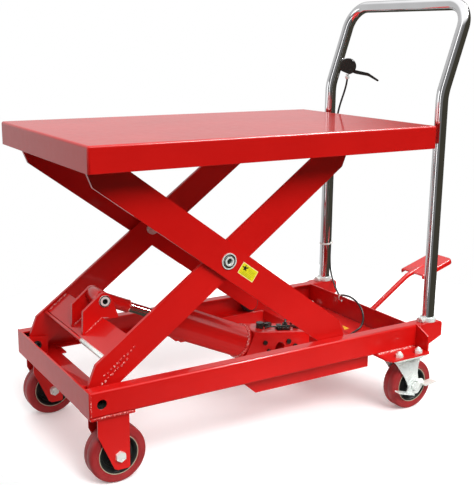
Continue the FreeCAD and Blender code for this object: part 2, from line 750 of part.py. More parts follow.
def hub(x, y):
    """Rim, thin web and a long boss."""
    place = (x, AXLE_HEIGHT)
    rim = collar(place, HUB_R, HUB_R - 5, y - 17.5, y + 17.5)
    web = across(place, HUB_R - 4, y - 4, y + 4)
    boss = across(place, 14, y - 21, y + 21)
    return cut(fuse(rim, web, boss), across(place, WHEEL_BOLT_R + RUNNING_FIT, y - 30, y + 30))


def swivel_fork():
    """Turning half of a rear caster: pressed fork, lower race and axle bolt."""
    x, y = SWIVEL_AXIS
    axle = (REAR_AXLE_X, AXLE_HEIGHT)
    cheek = (
        (742, 134), (742, 126, 3), (770, 98, 20), (793, 56, 8), (800, 43, 10), (820, 43, 12), (827, 60, 12),
        (821, 100, 30), (824, 134),
    )
    crown = box(742, 824, y - 25, y + 25, 131, 134)
    cheeks = fuse(plate("xz", cheek, y - 25, y - 22), plate("xz", cheek, y + 22, y + 25))
    race = upright(x, y, 33, 133, 138)
    bores = (
        across(axle, WHEEL_BOLT_R, y - 40, y + 40),
        upright(x, y, AXLE_R + RUNNING_FIT, 120, 140),
        hexagon((x, y, 120), (x, y, 131), 24),
    )
    fork = cut(fuse(cheeks, crown, race), *bores)
    return group(fork, axle_bolt(REAR_AXLE_X, y, 25))


def brake_lever():
    """Rocking side brake with two treads, on the outboard end of the axle bolt."""
    y = SWIVEL_AXIS[1]
    x = REAR_AXLE_X
    z = AXLE_HEIGHT
    side = (
        (x - 26, z - 16, 4), (x + 10, z - 21, 8), (x + 30, z + 2, 6), (x + 24, z + 14, 6), (x - 4, z + 18, 9),
        (x - 18, z + 2, 8),
    )
    cheek = plate("xz", side, y + 25.4, y + 28.4)
    hind = turned(box(x + 18, x + 51, y + 26, y + 46, z + 2, z + 5), (x + 18, z + 2), 6)
    fore = turned(box(x - 62, x - 14, y + 26, y + 44, z - 16, z - 13), (x - 14, z - 16), -16)
    bore = across((x, z), 11.6, y + 20, y + 36)
    return cut(fuse(cheek, hind, fore), bore)


# ---- write every piece ----------------------------------------------------------------------------

def near(shape):
    return mirrored(shape)


os.makedirs("parts", exist_ok=True)

lower_roller_place = (ROLLER_X, LOWER_PIVOT_Z)
upper_roller_place = (ROLLER_X, UPPER_PIVOT_Z)

for name, shape in (("rail", side_rail()), ("inner_arm", inner_arm()), ("outer_arm", outer_arm())):
    save("near_" + name, near(shape))
    save("far_" + name, shape)

save("front_channel", front_channel())
save("rear_panel", rear_panel())
save("pump_cradle", pump_cradle())
save("front_pivot_plates", front_pivot_plates())
save("base_pivot_pins", base_pivot_pins())
save("front_forks", pair(front_fork()))
save("wheel_bolts", wheel_bolts())
save("caster_plates", pair(caster_plate()))
save("caster_top_plates", pair(caster_top_plate()))
save("handle_brackets", pair(handle_bracket()))
save("handle_collars", pair(handle_collar()))
save("handle_tube", handle_tube())
save("lever_housing", lever_housing())
save("release_lever", release_lever())
save("cable_adjuster", cable_adjuster())
save("release_cable", release_cable())
save("cable_ties", cable_ties())
save("pedal_hinge", pedal_hinge())

save("arm_cross_plate", arm_cross_plate())
save("cylinder_lugs", cylinder_lugs())
save("clevis_pin", clevis_pin())
save("tie_shaft", tie_shaft())
save("tie_sleeve", tie_sleeve())
save("centre_pins", centre_pins())
save("upper_roller_axles", roller_axle(upper_roller_place, INNER_ARM[1]))
save("lower_roller_axles", roller_axle(lower_roller_place, OUTER_ARM[1]))
save("outer_cross_plate", outer_cross_plate())

save("table_top", table_top())
save("roller_tracks", pair(roller_track()))
save("table_pivot_plates", table_pivot_plates())
save("table_pivot_pins", table_pivot_pins())

save("rod_end", rod_end())
save("piston_rod", piston_rod())
save("cylinder_tube", cylinder_tube())
save("pump_block", pump_block())
save("pump_fittings", group(*pump_fitting_shapes()))
save("pump_plunger", pump_plunger())
save("pedal", pedal())

for side, place_on_side in (("near", near), ("far", lambda shape: shape)):
    save(side + "_lower_roller", place_on_side(roller(lower_roller_place, LOWER_ROLLER_R)))
    save(side + "_upper_roller", place_on_side(roller(upper_roller_place, UPPER_ROLLER_R)))
    save(side + "_front_tyre", place_on_side(tyre(*FRONT_AXLE)))
    save(side + "_front_hub", place_on_side(hub(*FRONT_AXLE)))
    save(side + "_rear_tyre", place_on_side(tyre(REAR_AXLE_X, SWIVEL_AXIS[1])))
    save(side + "_rear_hub", place_on_side(hub(REAR_AXLE_X, SWIVEL_AXIS[1])))
    save(side + "_swivel_fork", place_on_side(swivel_fork()))
    save(side + "_brake_lever", place_on_side(brake_lever()))
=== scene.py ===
import json
import math
import random

import bpy
from mathutils import Matrix, Quaternion, Vector


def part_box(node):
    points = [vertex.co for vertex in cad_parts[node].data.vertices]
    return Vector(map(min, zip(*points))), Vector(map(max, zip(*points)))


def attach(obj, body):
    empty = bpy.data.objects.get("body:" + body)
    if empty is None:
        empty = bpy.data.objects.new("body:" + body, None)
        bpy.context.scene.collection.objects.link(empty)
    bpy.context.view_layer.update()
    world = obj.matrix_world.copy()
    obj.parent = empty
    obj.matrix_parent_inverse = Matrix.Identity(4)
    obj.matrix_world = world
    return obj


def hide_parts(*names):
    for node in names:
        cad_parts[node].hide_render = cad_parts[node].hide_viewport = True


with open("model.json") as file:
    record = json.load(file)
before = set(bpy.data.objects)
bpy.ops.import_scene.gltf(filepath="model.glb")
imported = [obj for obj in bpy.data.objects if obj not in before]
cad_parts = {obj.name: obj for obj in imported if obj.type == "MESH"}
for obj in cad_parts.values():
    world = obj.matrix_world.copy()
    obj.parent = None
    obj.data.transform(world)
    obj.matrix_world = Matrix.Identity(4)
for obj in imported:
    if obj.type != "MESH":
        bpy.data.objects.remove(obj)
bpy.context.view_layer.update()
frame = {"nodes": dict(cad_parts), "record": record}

NODES = frame["nodes"]
SCENE = bpy.context.scene
SIDES = (("near", -1), ("far", 1))

# Places are given in millimetres from the table's front end, the middle plane and the floor.
FRONT_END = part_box("table_top")[0][0]
MM = 0.001


def at(x, y, z):
    return Vector((FRONT_END + x * MM, y * MM, z * MM))


# ---- camera, light and floor ------------------------------------------------------------------------

CAMERA_PLACE = (-554, -1643, 855)
CAMERA_YAW, CAMERA_PITCH, CAMERA_ROLL = (math.radians(angle) for angle in (31.42, 13.42, 0.61))


def make_camera():
    data = bpy.data.cameras.new("camera")
    data.sensor_width = 36.0
    data.lens = 64.23
    data.shift_x = 0.0056
    data.shift_y = 0.0035
    data.clip_end = 50.0
    camera = bpy.data.objects.new("camera", data)
    SCENE.collection.objects.link(camera)
    east, north = math.sin(CAMERA_YAW), math.cos(CAMERA_YAW)
    ahead = Vector((east * math.cos(CAMERA_PITCH), north * math.cos(CAMERA_PITCH), -math.sin(CAMERA_PITCH)))
    level = Vector((north, -east, 0.0))
    upward = level.cross(ahead)
    right = level * math.cos(CAMERA_ROLL) + upward * math.sin(CAMERA_ROLL)
    up = right.cross(ahead)
    turn = Matrix((right, up, -ahead)).transposed().to_4x4()
    camera.matrix_world = Matrix.Translation(at(*CAMERA_PLACE)) @ turn
    SCENE.camera = camera


def strip_light(name, place, target, size, power):
    """An area light that only shows in reflections."""
    data = bpy.data.lights.new(name, "AREA")
    data.shape = "RECTANGLE"
    data.size, data.size_y = size
    data.energy = power
    light = bpy.data.objects.new(name, data)
    light.location = place
    light.rotation_euler = (Vector(target) - Vector(place)).to_track_quat("-Z", "Y").to_euler()
    light.visible_diffuse = False
    SCENE.collection.objects.link(light)


def soft_step(nodes, links, place, direction, low, high):
    """From 0 to 1 as a direction's share along an axis goes from low to high."""
    share = nodes.new("ShaderNodeVectorMath")
    share.operation = "DOT_PRODUCT"
    share.inputs[1].default_value = direction
    links.new(place, share.inputs[0])
    step = nodes.new("ShaderNodeMapRange")
    step.interpolation_type = "SMOOTHSTEP"
    step.inputs["From Min"].default_value = low
    step.inputs["From Max"].default_value = high
    links.new(share.outputs["Value"], step.inputs["Value"])
    return step.outputs["Result"]


# Layers of the surroundings: the way that each faces, where it starts and is full, and its colour.
OPEN_SIDE = (0.62, 0.62, 0.62)
WORLD_LAYERS = (
    ((0.521, 0.853, 0.0), 0.25, -0.45, (0.18, 0.18, 0.18)),
    ((0.75, -0.46, -0.60), 0.02, 0.13, (0.055, 0.051, 0.038)),
    ((0.0, 0.0, 1.0), 0.45, 0.75, (1.25, 1.25, 1.25)),
)
WHITE = (1.0, 1.0, 1.0, 1.0)


def make_world():
    """Grey surroundings, darker behind the camera, with a dark flag and a bright top; white where seen."""
    world = bpy.data.worlds.new("studio")
    SCENE.world = world
    world.use_nodes = True
    nodes, links = world.node_tree.nodes, world.node_tree.links
    place = nodes.new("ShaderNodeTexCoord").outputs["Generated"]
    steps = [soft_step(nodes, links, place, facing, low, high) for facing, low, high, _ in WORLD_LAYERS]
    colour = None
    for step, (*_, tone) in zip(steps, WORLD_LAYERS):
        mix = nodes.new("ShaderNodeMix")
        mix.data_type = "RGBA"
        links.new(step, mix.inputs[0])
        if colour is None:
            mix.inputs[6].default_value = (*OPEN_SIDE, 1.0)
        else:
            links.new(colour, mix.inputs[6])
        mix.inputs[7].default_value = (*tone, 1.0)
        colour = mix.outputs[2]
    seen = nodes.new("ShaderNodeMix")
    seen.data_type = "RGBA"
    links.new(nodes.new("ShaderNodeLightPath").outputs["Is Camera Ray"], seen.inputs[0])
    links.new(colour, seen.inputs[6])
    seen.inputs[7].default_value = WHITE
    links.new(seen.outputs[2], nodes["Background"].inputs["Color"])


def make_lights():
    """A wide soft sun for the shading and three strips for the reflections."""
    data = bpy.data.lights.new("soft_sun", "SUN")
    data.energy = 2.85
    data.angle = math.radians(32)
    sun = bpy.data.objects.new("soft_sun", data)
    sun.rotation_euler = Vector((0.06, -0.72, 0.70)).to_track_quat("Z", "Y").to_euler()
    sun.visible_glossy = False
    SCENE.collection.objects.link(sun)
    strip_light("left_strip", (-2.3, -0.75, 1.4), (0.0, 0.0, 0.6), (0.4, 4.4), 12)
    strip_light("top_strip", (1.25, -0.9, 2.6), (0.0, -0.2, 0.2), (2.2, 0.5), 130)
    strip_light("back_strip", (-2.4, 1.4, 0.9), (-0.5, 0.0, 0.4), (1.1, 1.4), 6)


FLOOR_MIDDLE = (0.2, 0.3)
FLOOR_RADIUS = 0.95


def make_floor():
    """A round pale floor, left out of reflections, just under the wheels."""
    mesh = bpy.data.meshes.new("floor")
    turns = [math.radians(degrees) for degrees in range(0, 360, 3)]
    x, y = FLOOR_MIDDLE
    rim = [(x + FLOOR_RADIUS * math.cos(turn), y + FLOOR_RADIUS * math.sin(turn), 0.0) for turn in turns]
    mesh.from_pydata(rim, [], [tuple(range(len(rim)))])
    floor = bpy.data.objects.new("floor", mesh)
    floor.location.z = -0.0005
    SCENE.collection.objects.link(floor)
    floor.data.materials.append(floor_material())
    floor.visible_glossy = False


# ---- materials ------------------------------------------------------------------------------------

class Shader:
    """A principled material with helpers for noise, colour ramps and bump in object space."""

    def __init__(self, name, **settings):
        self.material = bpy.data.materials.new(name)
        self.material.use_nodes = True
        self.nodes = self.material.node_tree.nodes
        self.links = self.material.node_tree.links
        self.surface = self.nodes["Principled BSDF"]
        self.place = self.nodes.new("ShaderNodeTexCoord").outputs["Object"]
        for socket, value in settings.items():
            self.surface.inputs[socket.replace("_", " ")].default_value = value

    def noise(self, scale, detail=3.0, distortion=0.0):
        node = self.nodes.new("ShaderNodeTexNoise")
        node.inputs["Scale"].default_value = scale
        node.inputs["Detail"].default_value = detail
        node.inputs["Distortion"].default_value = distortion
        self.links.new(self.place, node.inputs["Vector"])
        return node.outputs["Fac"]

    def ramp(self, factor, *stops):
        """Colours, or greys from single numbers, at places from 0 to 1 along a factor."""
        node = self.nodes.new("ShaderNodeValToRGB")
        elements = node.color_ramp.elements
        while len(elements) < len(stops):
            elements.new(0.5)
        for element, (position, colour) in zip(elements, stops):
            element.position = position
            tone = colour if isinstance(colour, tuple) else (colour, colour, colour)
            element.color = (*tone, 1.0)
        self.links.new(factor, node.inputs["Fac"])
        return node.outputs["Color"]

    def colour(self, source):
        self.links.new(source, self.surface.inputs["Base Color"])

    def roughness(self, source):
        self.links.new(source, self.surface.inputs["Roughness"])

    def bump(self, height, distance, strength):
        node = self.nodes.new("ShaderNodeBump")
        node.inputs["Distance"].default_value = distance
        node.inputs["Strength"].default_value = strength
        self.links.new(height, node.inputs["Height"])
        self.links.new(node.outputs["Normal"], self.surface.inputs["Normal"])


def floor_material():
    """Pale matt floor that also gives a little light of its own."""
    shader = Shader(
        "pale_floor", Roughness=0.6, Specular_IOR_Level=0.2, Emission_Color=WHITE, Emission_Strength=0.2
    )
    shader.colour(shader.ramp(shader.noise(3.0), (0.3, 0.93), (0.7, 0.95)))
    return shader.material


def red_paint():
    """Glossy powder coat with faint orange peel and a little unevenness of tone."""
    shader = Shader(
        "red_powder_coat", Specular_IOR_Level=0.3, Coat_Weight=0.6, Coat_Roughness=0.035, Coat_IOR=1.42
    )
    tone = shader.noise(7.0, 4.0)
    shader.colour(shader.ramp(tone, (0.25, (0.56, 0.0045, 0.0035)), (0.75, (0.64, 0.0065, 0.005))))
    shader.roughness(shader.ramp(shader.noise(60.0, 5.0), (0.3, 0.33), (0.7, 0.37)))
    shader.bump(shader.noise(420.0, 2.0), 0.00002, 0.3)
    return shader.material


def weld_paint():
    """The same red over a rough bead, with pale flecks painted into the colour as painted glints, placed by
    noise rather than by the light.
    """
    shader = Shader("painted_weld_with_painted_glints", Coat_Weight=0.8, Coat_Roughness=0.06)
    # The palest stop is a painted highlight: glints of the ripples painted into the base colour.
    painted_glints = ((0.35, (0.50, 0.010, 0.010)), (0.52, (0.68, 0.03, 0.025)), (0.64, (0.92, 0.55, 0.50)))
    shader.colour(shader.ramp(shader.noise(260.0), *painted_glints))
    shader.roughness(shader.ramp(shader.noise(500.0), (0.3, 0.18), (0.7, 0.4)))
    shader.bump(shader.noise(900.0, 3.0), 0.0006, 0.9)
    return shader.material


def chrome():
    """Polished plating with faint waves and patches of haze."""
    shader = Shader("chrome_plate", Metallic=1.0)
    shader.colour(shader.ramp(shader.noise(12.0), (0.3, (0.74, 0.74, 0.75)), (0.7, (0.82, 0.82, 0.83))))
    shader.roughness(shader.ramp(shader.noise(40.0, 6.0), (0.35, 0.05), (0.75, 0.13)))
    shader.bump(shader.noise(9.0, 1.0), 0.0006, 0.08)
    return shader.material


def zinc():
    """Bright zinc plating with soft bluish and yellowish clouds."""
    shader = Shader("zinc_plate", Metallic=0.35)
    clouds = shader.noise(16.0, 1.5, 0.3)
    tones = ((0.25, (0.80, 0.87, 0.85)), (0.55, (0.93, 0.97, 0.93)), (0.8, (0.90, 0.92, 0.84)))
    shader.colour(shader.ramp(clouds, *tones))
    shader.roughness(shader.ramp(shader.noise(40.0, 2.0), (0.3, 0.20), (0.7, 0.30)))
    shader.bump(shader.noise(90.0, 2.0), 0.0001, 0.1)
    return shader.material


def tread():
    """Red polyurethane: satin and slightly mottled."""
    shader = Shader("red_polyurethane", Specular_IOR_Level=0.42)
    mottle = shader.noise(30.0, 5.0)
    shader.colour(shader.ramp(mottle, (0.25, (0.25, 0.014, 0.016)), (0.75, (0.34, 0.020, 0.022))))
    shader.roughness(shader.ramp(shader.noise(110.0, 4.0), (0.3, 0.33), (0.7, 0.5)))
    shader.bump(shader.noise(700.0, 3.0), 0.0002, 0.35)
    return shader.material


def moulded(name, dark, light, rough=(0.38, 0.55)):
    """Moulded plastic or blackened metal with a fine grain."""
    shader = Shader(name)
    shader.colour(shader.ramp(shader.noise(35.0, 4.0), (0.3, dark), (0.75, light)))
    shader.roughness(shader.ramp(shader.noise(150.0, 3.0), (0.3, rough[0]), (0.7, rough[1])))
    shader.bump(shader.noise(1100.0, 2.0), 0.00015, 0.5)
    return shader.material


def vinyl(name, dark, light):
    """Printed vinyl of slightly uneven tone."""
    shader = Shader(name, Coat_Weight=0.3, Coat_Roughness=0.2)
    shader.colour(shader.ramp(shader.noise(160.0, 3.0), (0.3, dark), (0.7, light)))
    shader.roughness(shader.ramp(shader.noise(240.0), (0.3, 0.3), (0.7, 0.42)))
    shader.bump(shader.noise(600.0), 0.0001, 0.3)
    return shader.material


MATERIALS = {}


def make_materials():
    MATERIALS.update({
        "red_paint": red_paint(),
        "weld": weld_paint(),
        "chrome": chrome(),
        "zinc": zinc(),
        "red_tyre": tread(),
        "black_plastic": moulded("black_nylon", (0.012, 0.014, 0.013), (0.026, 0.030, 0.028)),
        "black_fittings": moulded(
            "black_fitting", (0.010, 0.010, 0.009), (0.024, 0.025, 0.021), (0.16, 0.32)
        ),
        "roller_nylon": moulded("roller_nylon", (0.030, 0.030, 0.030), (0.055, 0.055, 0.055)),
        "cable_casing": moulded(
            "cable_casing", (0.010, 0.010, 0.010), (0.020, 0.020, 0.020), (0.3, 0.42)
        ),
        "tie_nylon": moulded("natural_nylon", (0.72, 0.72, 0.68), (0.82, 0.82, 0.78)),
        "adhesive": moulded("bond_ring", (0.30, 0.26, 0.18), (0.42, 0.37, 0.27)),
        "label": vinyl("yellow_vinyl", (0.74, 0.66, 0.006), (0.82, 0.75, 0.010)),
        "label_rim": vinyl("pale_vinyl", (0.90, 0.84, 0.35), (0.95, 0.90, 0.45)),
        "label_bar": vinyl("grey_print", (0.26, 0.27, 0.02), (0.36, 0.36, 0.03)),
        "label_amber": vinyl("amber_vinyl", (0.80, 0.42, 0.02), (0.88, 0.52, 0.03)),
        "label_print": moulded("label_print", (0.01, 0.01, 0.01), (0.02, 0.02, 0.02)),
        "pin_steel": moulded("dark_steel", (0.012, 0.014, 0.012), (0.030, 0.034, 0.030), (0.2, 0.35)),
    })


# ---- mesh helpers ---------------------------------------------------------------------------------

def finish_piece(piece, body, material):
    piece.data.materials.clear()
    piece.data.materials.append(MATERIALS[material])
    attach(piece, body)
    return piece


def mesh_piece(name, points, faces, body, slot, material=None, smooth=True, sharp=35.0):
    mesh = bpy.data.meshes.new(name)
    mesh.from_pydata([tuple(point) for point in points], [], faces)
    mesh.update()
    if smooth:
        mesh.shade_smooth()
        mesh.set_sharp_from_angle(angle=math.radians(sharp))
    piece = bpy.data.objects.new(name, mesh)
    SCENE.collection.objects.link(piece)
    return finish_piece(piece, body, material or slot)


def closed_faces(rings, around):
    """Quads between closed rings of points, the last of which joins the first."""
    faces = []
    for i in range(rings):
        for k in range(around):
            a, b = i * around + k, i * around + (k + 1) % around
            c, d = ((i + 1) % rings) * around + (k + 1) % around, ((i + 1) % rings) * around + k
            faces.append((a, b, c, d))
    return faces


def capped_faces(rings, around):
    """Quads between closed rings of points, with a flat face at each end."""
    faces = []
    for i in range(rings - 1):
        for k in range(around):
            a, b = i * around + k, i * around + (k + 1) % around
            faces.append((a, b, b + around, a + around))
    last = (rings - 1) * around
    return faces + [tuple(reversed(range(around))), tuple(range(last, last + around))]


def lathe(name, profile, origin, axis, body, slot, material=None, steps=96, sharp=35.0):
    """Turns a closed profile of (along, radius) in millimetres about an axis."""
    axis = Vector(axis).normalized()
    side = axis.orthogonal().normalized()
    other = axis.cross(side)
    points = []
    for i in range(steps):
        turn = 2 * math.pi * i / steps
        spoke = side * math.cos(turn) + other * math.sin(turn)
        for along, radius in profile:
            points.append(origin + axis * (along * MM) + spoke * (radius * MM))
    faces = closed_faces(steps, len(profile))
    return mesh_piece(name, points, faces, body, slot, material, sharp=sharp)


def rounded_profile(corners, steps=5):
    """A closed profile whose (a, b, radius) corners are rounded by short arcs; no radius stays sharp."""
    result = []
    count = len(corners)
    for i, (a, b, radius) in enumerate(corners):
        here = Vector((a, b))
        if radius <= 0:
            result.append((a, b))
            continue
        back = (Vector(corners[i - 1][:2]) - here).normalized()
        ahead = (Vector(corners[(i + 1) % count][:2]) - here).normalized()
        half = back.angle(ahead) / 2
        centre = here + (back + ahead).normalized() * (radius / math.sin(half))
        first = here + back * (radius / math.tan(half)) - centre
        last = here + ahead * (radius / math.tan(half)) - centre
        turn = first.angle_signed(last)
        for k in range(steps + 1):
            spoke = first.copy()
            spoke.rotate(Matrix.Rotation(-turn * k / steps, 2))
            result.append(tuple(centre + spoke))
    return result


def smooth_path(points, radii, steps):
    """Straight runs whose corners are rounded by arcs of the given radii, in metres."""
    path = [points[0]]
    for i in range(1, len(points) - 1):
        back = (points[i - 1] - points[i]).normalized()
        ahead = (points[i + 1] - points[i]).normalized()
        half = back.angle(ahead) / 2
        radius = radii[i - 1]
        centre = points[i] + (back + ahead).normalized() * (radius / math.sin(half))
        first = points[i] + back * (radius / math.tan(half)) - centre
        last = points[i] + ahead * (radius / math.tan(half)) - centre
        turn = first.rotation_difference(last)
        for k in range(steps + 1):
            spoke = first.copy()
            spoke.rotate(Quaternion(turn.axis, turn.angle * k / steps))
            path.append(centre + spoke)
    path.append(points[-1])
    return path


def sweep(name, path, radii, body, slot, material=None, around=24, squeeze=1.0, normal=None):
    """A tube along a path with a radius for each of its points; squeeze flattens it along a normal."""
    points = []
    previous = None
    for i, place in enumerate(path):
        heading = (path[min(i + 1, len(path) - 1)] - path[max(i - 1, 0)]).normalized()
        if normal is not None:
            up = (normal - heading * normal.dot(heading)).normalized()
        elif previous is None:
            up = heading.orthogonal().normalized()
        else:
            up = (previous - heading * previous.dot(heading)).normalized()
        previous = up
        side = heading.cross(up)
        radius = radii[i]
        for k in range(around):
            turn = 2 * math.pi * k / around
            points.append(place + side * (math.cos(turn) * radius) + up * (math.sin(turn) * radius * squeeze))
    return mesh_piece(name, points, capped_faces(len(path), around), body, slot, material, sharp=60.0)


def rod(name, path, radius, body, slot, around):
    """A tube of one radius along a path, in its slot's own material."""
    return sweep(name, path, [radius] * len(path), body, slot, around=around)


RIPPLE_PITCH = 2.4
RIPPLE_STEPS = 5


def weld_bead(name, start, end, body, normal, width, seed):
    """A rippled bead between two points, half sunk into the plates that it joins."""
    rng = random.Random(seed)
    length = (end - start).length
    count = max(2, round(length / (RIPPLE_PITCH * MM))) * RIPPLE_STEPS
    path = []
    sizes = []
    for i in range(count + 1):
        along = i / count
        wave = abs(math.sin(math.pi * i / RIPPLE_STEPS))
        taper = min(1.0, 6 * min(along, 1 - along) + 0.35)
        sizes.append(width * MM * 0.5 * taper * (0.82 + 0.18 * wave + rng.uniform(-0.05, 0.05)))
        path.append(start.lerp(end, along) + Vector(normal) * rng.uniform(-0.0002, 0.0002))
    return sweep(name, path, sizes, body, "red_paint", "weld", around=12, squeeze=0.6, normal=Vector(normal))


# ---- CAD pieces that keep their shape ---------------------------------------------------------------

def dress_cad_nodes():
    """Gives every CAD node its slot's material, dark steel for the base pivot pins, and slightly broken
    edges.
    """
    slots = {entry["node"]: entry["material_slot"] for entry in frame["record"]["subparts"]}
    for name, node in NODES.items():
        node.data.materials.clear()
        node.data.materials.append(MATERIALS["pin_steel" if name == "base_pivot_pins" else slots[name]])
        weld = node.modifiers.new("join", "WELD")
        weld.merge_threshold = 0.00001
        bevel = node.modifiers.new("broken_edges", "BEVEL")
        bevel.width = 0.0007
        bevel.segments = 2
        bevel.limit_method = "ANGLE"
        bevel.angle_limit = math.radians(40)
        bevel.harden_normals = True


# ---- handle -----------------------------------------------------------------------------------------

LEG = (868.0, 204.5)
LEG_FOOT = 160.0
LEAN_START = 736.0
HANDLE_TOP = (935.0, 935.0)
TUBE_RADIUS = 14.0


def make_handle():
    """Bent chrome tube with open feet hidden in the sockets."""
    x, y = LEG
    top_x, top_z = HANDLE_TOP
    points = [
        at(x, -y, LEG_FOOT), at(x, -y, LEAN_START), at(top_x, -y, top_z),
        at(top_x, y, top_z), at(x, y, LEAN_START), at(x, y, LEG_FOOT),
    ]
    path = smooth_path(points, (0.110, 0.055, 0.055, 0.110), steps=16)
    tube = rod("push_handle", path, TUBE_RADIUS * MM, "root", "chrome", 48)
    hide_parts("handle_tube")


# ---- wheels -----------------------------------------------------------------------------------------

AXLE_HEIGHT = 60.0
FRONT_AXLE = (65.0, 187.0)
REAR_AXLE = (809.0, 208.0)
BOND_RING = ((17.4, 39.9), (18.5, 39.9), (18.7, 40.4), (18.5, 41.5), (17.4, 41.5))
RIB_COUNT = 5
RIB_PATH = ((14.5, 7.5), (22, 5.8), (29, 6.2))
RIB_RADIUS = 1.7
FACES = ((-1, "in"), (1, "out"))


def both_halves(right):
    """A profile's right half followed by its mirror image."""
    return right + [(-a, b, radius) for a, b, radius in reversed(right)]


def tyre_profile():
    """Tread with a shallow mould line, rounded shoulders and a small step down to the hub."""
    right = [(0.5, 59.75, 0), (0.9, 60, 0), (19, 60, 7.5), (19, 45.5, 1.2), (18, 44, 1.2), (18, 40.3, 0.4)]
    return rounded_profile(both_halves(right), steps=6)


def hub_profile():
    """Deep dish with a raised ring, a flat web and a long boss about the axle."""
    right = [
        (17.6, 40.2, 0.4), (17.6, 37.4, 0.8), (14.6, 35.6, 1.2), (7.2, 33.4, 1.5), (7.2, 29.6, 0.8),
        (5.4, 28.8, 0.8), (5.0, 19.4, 3.0), (8.5, 15.6, 2.0), (20.6, 14.2, 0.8), (20.6, 6.3, 0),
    ]
    return rounded_profile(both_halves(right), steps=4)


def make_wheel(side, end, x, y):
    """Turned tyre and hub with a bonding ring and ribs on each face."""
    body = f"{side}_{end}_wheel"
    centre = at(x, y, AXLE_HEIGHT)
    axis = (0, 1, 0)
    tyre = lathe(f"{body}_tread", tyre_profile(), centre, axis, body, "red_tyre", steps=128, sharp=50)
    hub = lathe(f"{body}_hub", hub_profile(), centre, axis, body, "black_plastic", steps=96, sharp=40)
    for face, label in FACES:
        ring = [(along * face, radius) for along, radius in BOND_RING]
        lathe(f"{body}_bond_{label}", ring, centre, axis, body, "red_tyre", "adhesive", 128)
    for k in range(RIB_COUNT):
        turn = 2 * math.pi * k / RIB_COUNT
        spoke = Vector((math.cos(turn), 0, math.sin(turn)))
        for face, label in FACES:
            path = [centre + spoke * (r * MM) + Vector((0, face * w * MM, 0)) for r, w in RIB_PATH]
            rod(f"{body}_rib_{k}_{label}", path, RIB_RADIUS * MM, body, "black_plastic", 10)
    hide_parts(f"{side}_{end}_tyre")
    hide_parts(f"{side}_{end}_hub")


def hex_nut(name, centre, axis, flats, height, body):
    """Hexagon with turned-off corners, from centre along axis."""
    axis = Vector(axis).normalized()
    side = axis.orthogonal().normalized()
    other = axis.cross(side)
    corner = flats / math.sqrt(3)
    turned_off = flats / 2 * 0.985
    steps = 48
    points = []
    rings = ((0, turned_off), (height * 0.14, corner), (height * 0.86, corner), (height, turned_off))
    for along, limit in rings:
        for i in range(steps):
            turn = 2 * math.pi * i / steps
            reach = min(flats / 2 / math.cos((turn % (math.pi / 3)) - math.pi / 6), limit)
            spoke = side * math.cos(turn) + other * math.sin(turn)
            points.append(centre + axis * (along * MM) + spoke * (reach * MM))
    return mesh_piece(name, points, capped_faces(len(rings), steps), body, "zinc", sharp=25)


# ---- swivel forks -----------------------------------------------------------------------------------

SWIVEL_X = 770.0
FORK_CROWN = 134.0
FORK_EYE = 17.5
CHEEK_OUTSIDE = 25.0
CHEEK_HEIGHTS = (42.6, 44, 48, 54, 60, 68, 76, 84, 92, 100, 108, 116, 123)
SHOULDER_RADIUS = 9.0
RIB_LOW, RIB_HIGH, RIB_SWELL = 84, 130, 3.0


def fork_edges(z):
    """Fore and aft edges of a fork cheek at a height: round below the axle, flared towards the crown."""
    axle_x = REAR_AXLE[0]
    if z < AXLE_HEIGHT:
        reach = math.sqrt(max(FORK_EYE ** 2 - (AXLE_HEIGHT - z) ** 2, 4.0 ** 2))
        return axle_x - reach, axle_x + reach
    rise = (z - AXLE_HEIGHT) / (FORK_CROWN - AXLE_HEIGHT)
    fore = axle_x - FORK_EYE - 49.5 * rise ** 1.25
    aft = axle_x + FORK_EYE - 6.5 * math.sin(math.pi * min(rise * 1.15, 1.0)) - 2.5 * rise
    return fore, aft


def fork_outline():
    """Places across the fork and their heights, up one cheek, over the crown and down the other."""
    outline = [(-CHEEK_OUTSIDE, z) for z in CHEEK_HEIGHTS]
    for k in range(7):
        turn = math.pi / 2 * k / 6
        across = SHOULDER_RADIUS - CHEEK_OUTSIDE - SHOULDER_RADIUS * math.cos(turn)
        outline.append((across, FORK_CROWN - SHOULDER_RADIUS + SHOULDER_RADIUS * math.sin(turn)))
    outline += [(-10, FORK_CROWN), (-4, FORK_CROWN)]
    return outline + [(-across, z) for across, z in reversed(outline)]


def fork_rib(across, z, share):
    """How far the pressed rib swells out at a place on a cheek."""
    if not (RIB_LOW < z < RIB_HIGH and abs(across) > 16):
        return 0.0
    fade = min(1.0, (z - RIB_LOW) / 10) * min(1.0, (RIB_HIGH - z) / 6)
    swell = RIB_SWELL * fade * math.exp(-((share - 0.62) / 0.10) ** 2)
    return math.copysign(1.0, across) * swell


